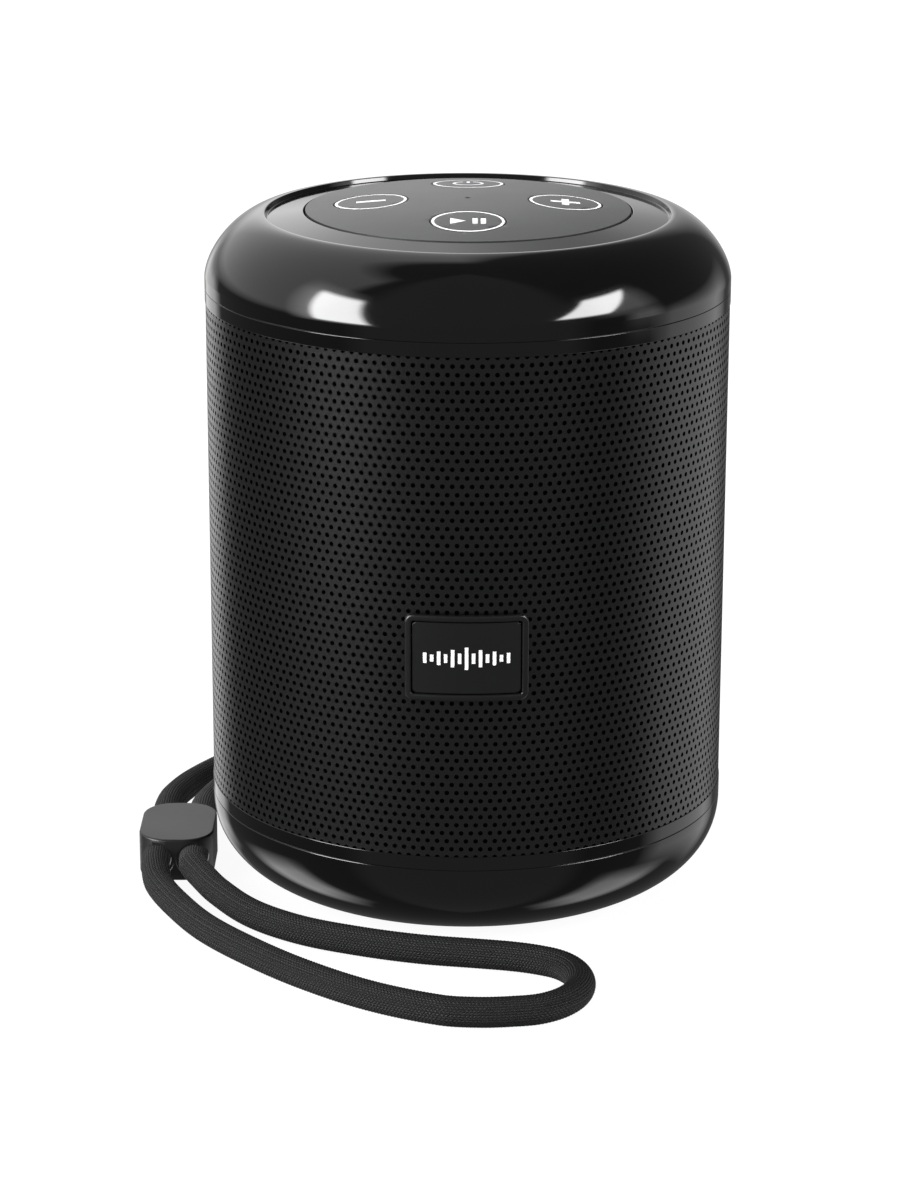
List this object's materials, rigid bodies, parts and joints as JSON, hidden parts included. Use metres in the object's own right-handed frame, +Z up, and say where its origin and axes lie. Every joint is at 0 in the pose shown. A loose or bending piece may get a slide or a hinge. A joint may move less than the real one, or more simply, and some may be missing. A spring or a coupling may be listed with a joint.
{
  "type": "portable shower speaker",
  "caption": "Black cylindrical portable speaker with a perforated grille, domed button panel on top and a looped braided lanyard with a sliding toggle.",
  "frame": {"origin": "centre of the foot pad's underside, on the table", "axes": "+Z up through the cylinder, -Y out of the front where the badge is, +X to the right seen from the front"},
  "size_m": [0.0941, 0.127, 0.1103],
  "materials": {
    "gloss_black": "high gloss moulded black",
    "key_plastic": "matte charcoal",
    "white_ink": "white inlay",
    "grille_metal": "satin black powder coat, perforated",
    "backing_cloth": "thin black acoustic cloth",
    "rubber_black": "matte rubber",
    "seal_rubber": "silicone",
    "braid": "tight herringbone braid",
    "toggle_plastic": "matte grey-black",
    "anchor_plastic": "matte black",
    "inner_plastic": "moulded",
    "steel": "plain",
    "magnet": "ferrite",
    "copper": "enamelled winding",
    "cone_paper": "pressed paper",
    "spider_cloth": "resin-treated cloth",
    "circuit_board": "green solder mask",
    "chip": "moulded",
    "socket_metal": "plated",
    "cell_sleeve": "shrink sleeve",
    "ribbon_film": "polyimide film",
    "lead_wire": "insulated wire",
    "badge_plastic": "satin",
    "badge_ink": "light grey inlay"
  },
  "bodies": {
    "speaker": {"foot_pad": "rubber_black", "base_shell": "gloss_black", "base_screws": "steel", "lanyard_anchor": "anchor_plastic", "lanyard_cord": "braid", "main_board": "circuit_board", "board_parts": "chip", "port_socket": "socket_metal", "base_seal": "seal_rubber", "base_frame": "inner_plastic", "lower_seam_ring": "gloss_black", "grille": "grille_metal", "acoustic_cloth": "backing_cloth", "enclosure_front": "inner_plastic", "enclosure_rear": "inner_plastic", "enclosure_gasket": "seal_rubber", "chassis_screws": "steel", "driver_frame": "inner_plastic", "driver_gasket": "seal_rubber", "driver_screws": "steel", "driver_magnet": "magnet", "driver_top_plate": "steel", "driver_yoke": "steel", "cone_surround": "rubber_black", "cone_spider": "spider_cloth", "driver_leads": "lead_wire", "radiator_frame": "inner_plastic", "radiator_surround": "rubber_black", "battery_cell": "cell_sleeve", "battery_bracket": "inner_plastic", "top_frame": "inner_plastic", "upper_seam_ring": "gloss_black", "crown_seal": "seal_rubber", "top_shell": "gloss_black", "top_screws": "steel", "ribbon_cable": "ribbon_film", "control_board": "circuit_board", "tact_switches": "socket_metal", "microphone": "socket_metal", "mic_seal": "seal_rubber", "keypad_membrane": "rubber_black", "control_disc": "key_plastic", "badge_frame": "badge_plastic", "badge_plate": "badge_plastic", "badge_mark": "badge_ink"},
    "volume_down": {"volume_down_key": "key_plastic", "volume_down_mark": "white_ink"},
    "volume_up": {"volume_up_key": "key_plastic", "volume_up_mark": "white_ink"},
    "play": {"play_key": "key_plastic", "play_mark": "white_ink"},
    "power": {"power_key": "key_plastic", "power_mark": "white_ink"},
    "cover": {"port_cover": "rubber_black"},
    "cone": {"speaker_cone": "cone_paper", "dust_cap": "cone_paper", "voice_coil": "copper"},
    "radiator": {"radiator_plate": "steel"},
    "toggle": {"lanyard_toggle": "toggle_plastic"}
  },
  "joints": [
    {"name": "volume_down_press", "type": "slide", "parent": "speaker", "child": "volume_down", "axis": [0, 0, -1], "range_m": [0, 0.0003], "stiffness_N_per_m": 300, "springref_m": -0.0005},
    {"name": "volume_up_press", "type": "slide", "parent": "speaker", "child": "volume_up", "axis": [0, 0, -1], "range_m": [0, 0.0003], "stiffness_N_per_m": 300, "springref_m": -0.0005},
    {"name": "play_press", "type": "slide", "parent": "speaker", "child": "play", "axis": [0, 0, -1], "range_m": [0, 0.0003], "stiffness_N_per_m": 300, "springref_m": -0.0005},
    {"name": "power_press", "type": "slide", "parent": "speaker", "child": "power", "axis": [0, 0, -1], "range_m": [0, 0.0003], "stiffness_N_per_m": 300, "springref_m": -0.0005},
    {"name": "cover_hinge", "type": "hinge", "parent": "speaker", "child": "cover", "pos_m": [0.01686, 0.03629, 0.0109], "axis": [0, 0, 1], "range_deg": [0, 90]},
    {"name": "cone_slide", "type": "slide", "parent": "speaker", "child": "cone", "axis": [0, -1, 0], "range_m": [-0.0015, 0.0015], "stiffness_N_per_m": 400, "deforming": ["cone_surround", "cone_spider"]},
    {"name": "radiator_slide", "type": "slide", "parent": "speaker", "child": "radiator", "axis": [0, 1, 0], "range_m": [-0.002, 0.002], "stiffness_N_per_m": 300, "deforming": ["radiator_surround"]},
    {"name": "toggle_slide", "type": "slide", "parent": "speaker", "child": "toggle", "axis": [0, 1, 0], "range_m": [0, 0.005]}
  ],
  "couplings": [
    {"joint": "radiator_slide", "follows": "cone_slide", "ratio": -1.3}
  ]
}
